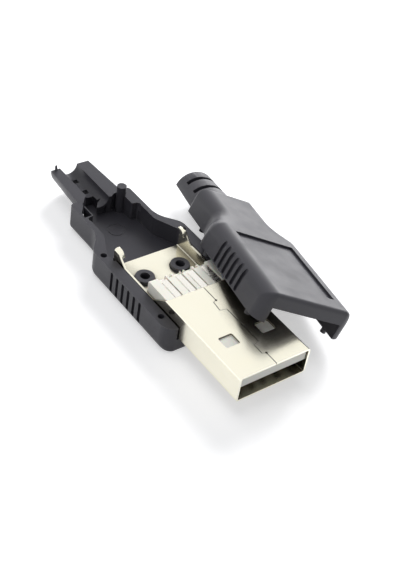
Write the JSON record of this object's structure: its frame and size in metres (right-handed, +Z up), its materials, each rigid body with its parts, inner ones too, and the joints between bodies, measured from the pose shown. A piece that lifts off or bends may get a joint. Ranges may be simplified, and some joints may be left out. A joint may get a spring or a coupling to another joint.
{
  "type": "usb-a plug",
  "caption": "Solderable cable plug of type A, opened: metal plug with insulator and contacts seated in the lower half of a black housing, upper half leaning on it.",
  "frame": {"origin": "centre of the flat face that the lower half of the housing stands on", "axes": "+Z up; -Y is the way the plug's mouth points, +Y the cable side; +X is the side the upper half leans towards"},
  "size_m": [0.0291, 0.0525, 0.013],
  "materials": {
    "housing": "black moulded plastic, satin gloss",
    "metal": "bright nickel-plated sheet",
    "ivory": "white moulded plastic",
    "contacts": "plated spring strip"
  },
  "bodies": {
    "root": {"lower_housing": "housing", "upper_housing": "housing", "plug_shell": "metal", "insulator": "ivory", "contact_power": "contacts", "contact_data_minus": "contacts", "contact_data_plus": "contacts", "contact_ground": "contacts"}
  },
  "joints": []
}
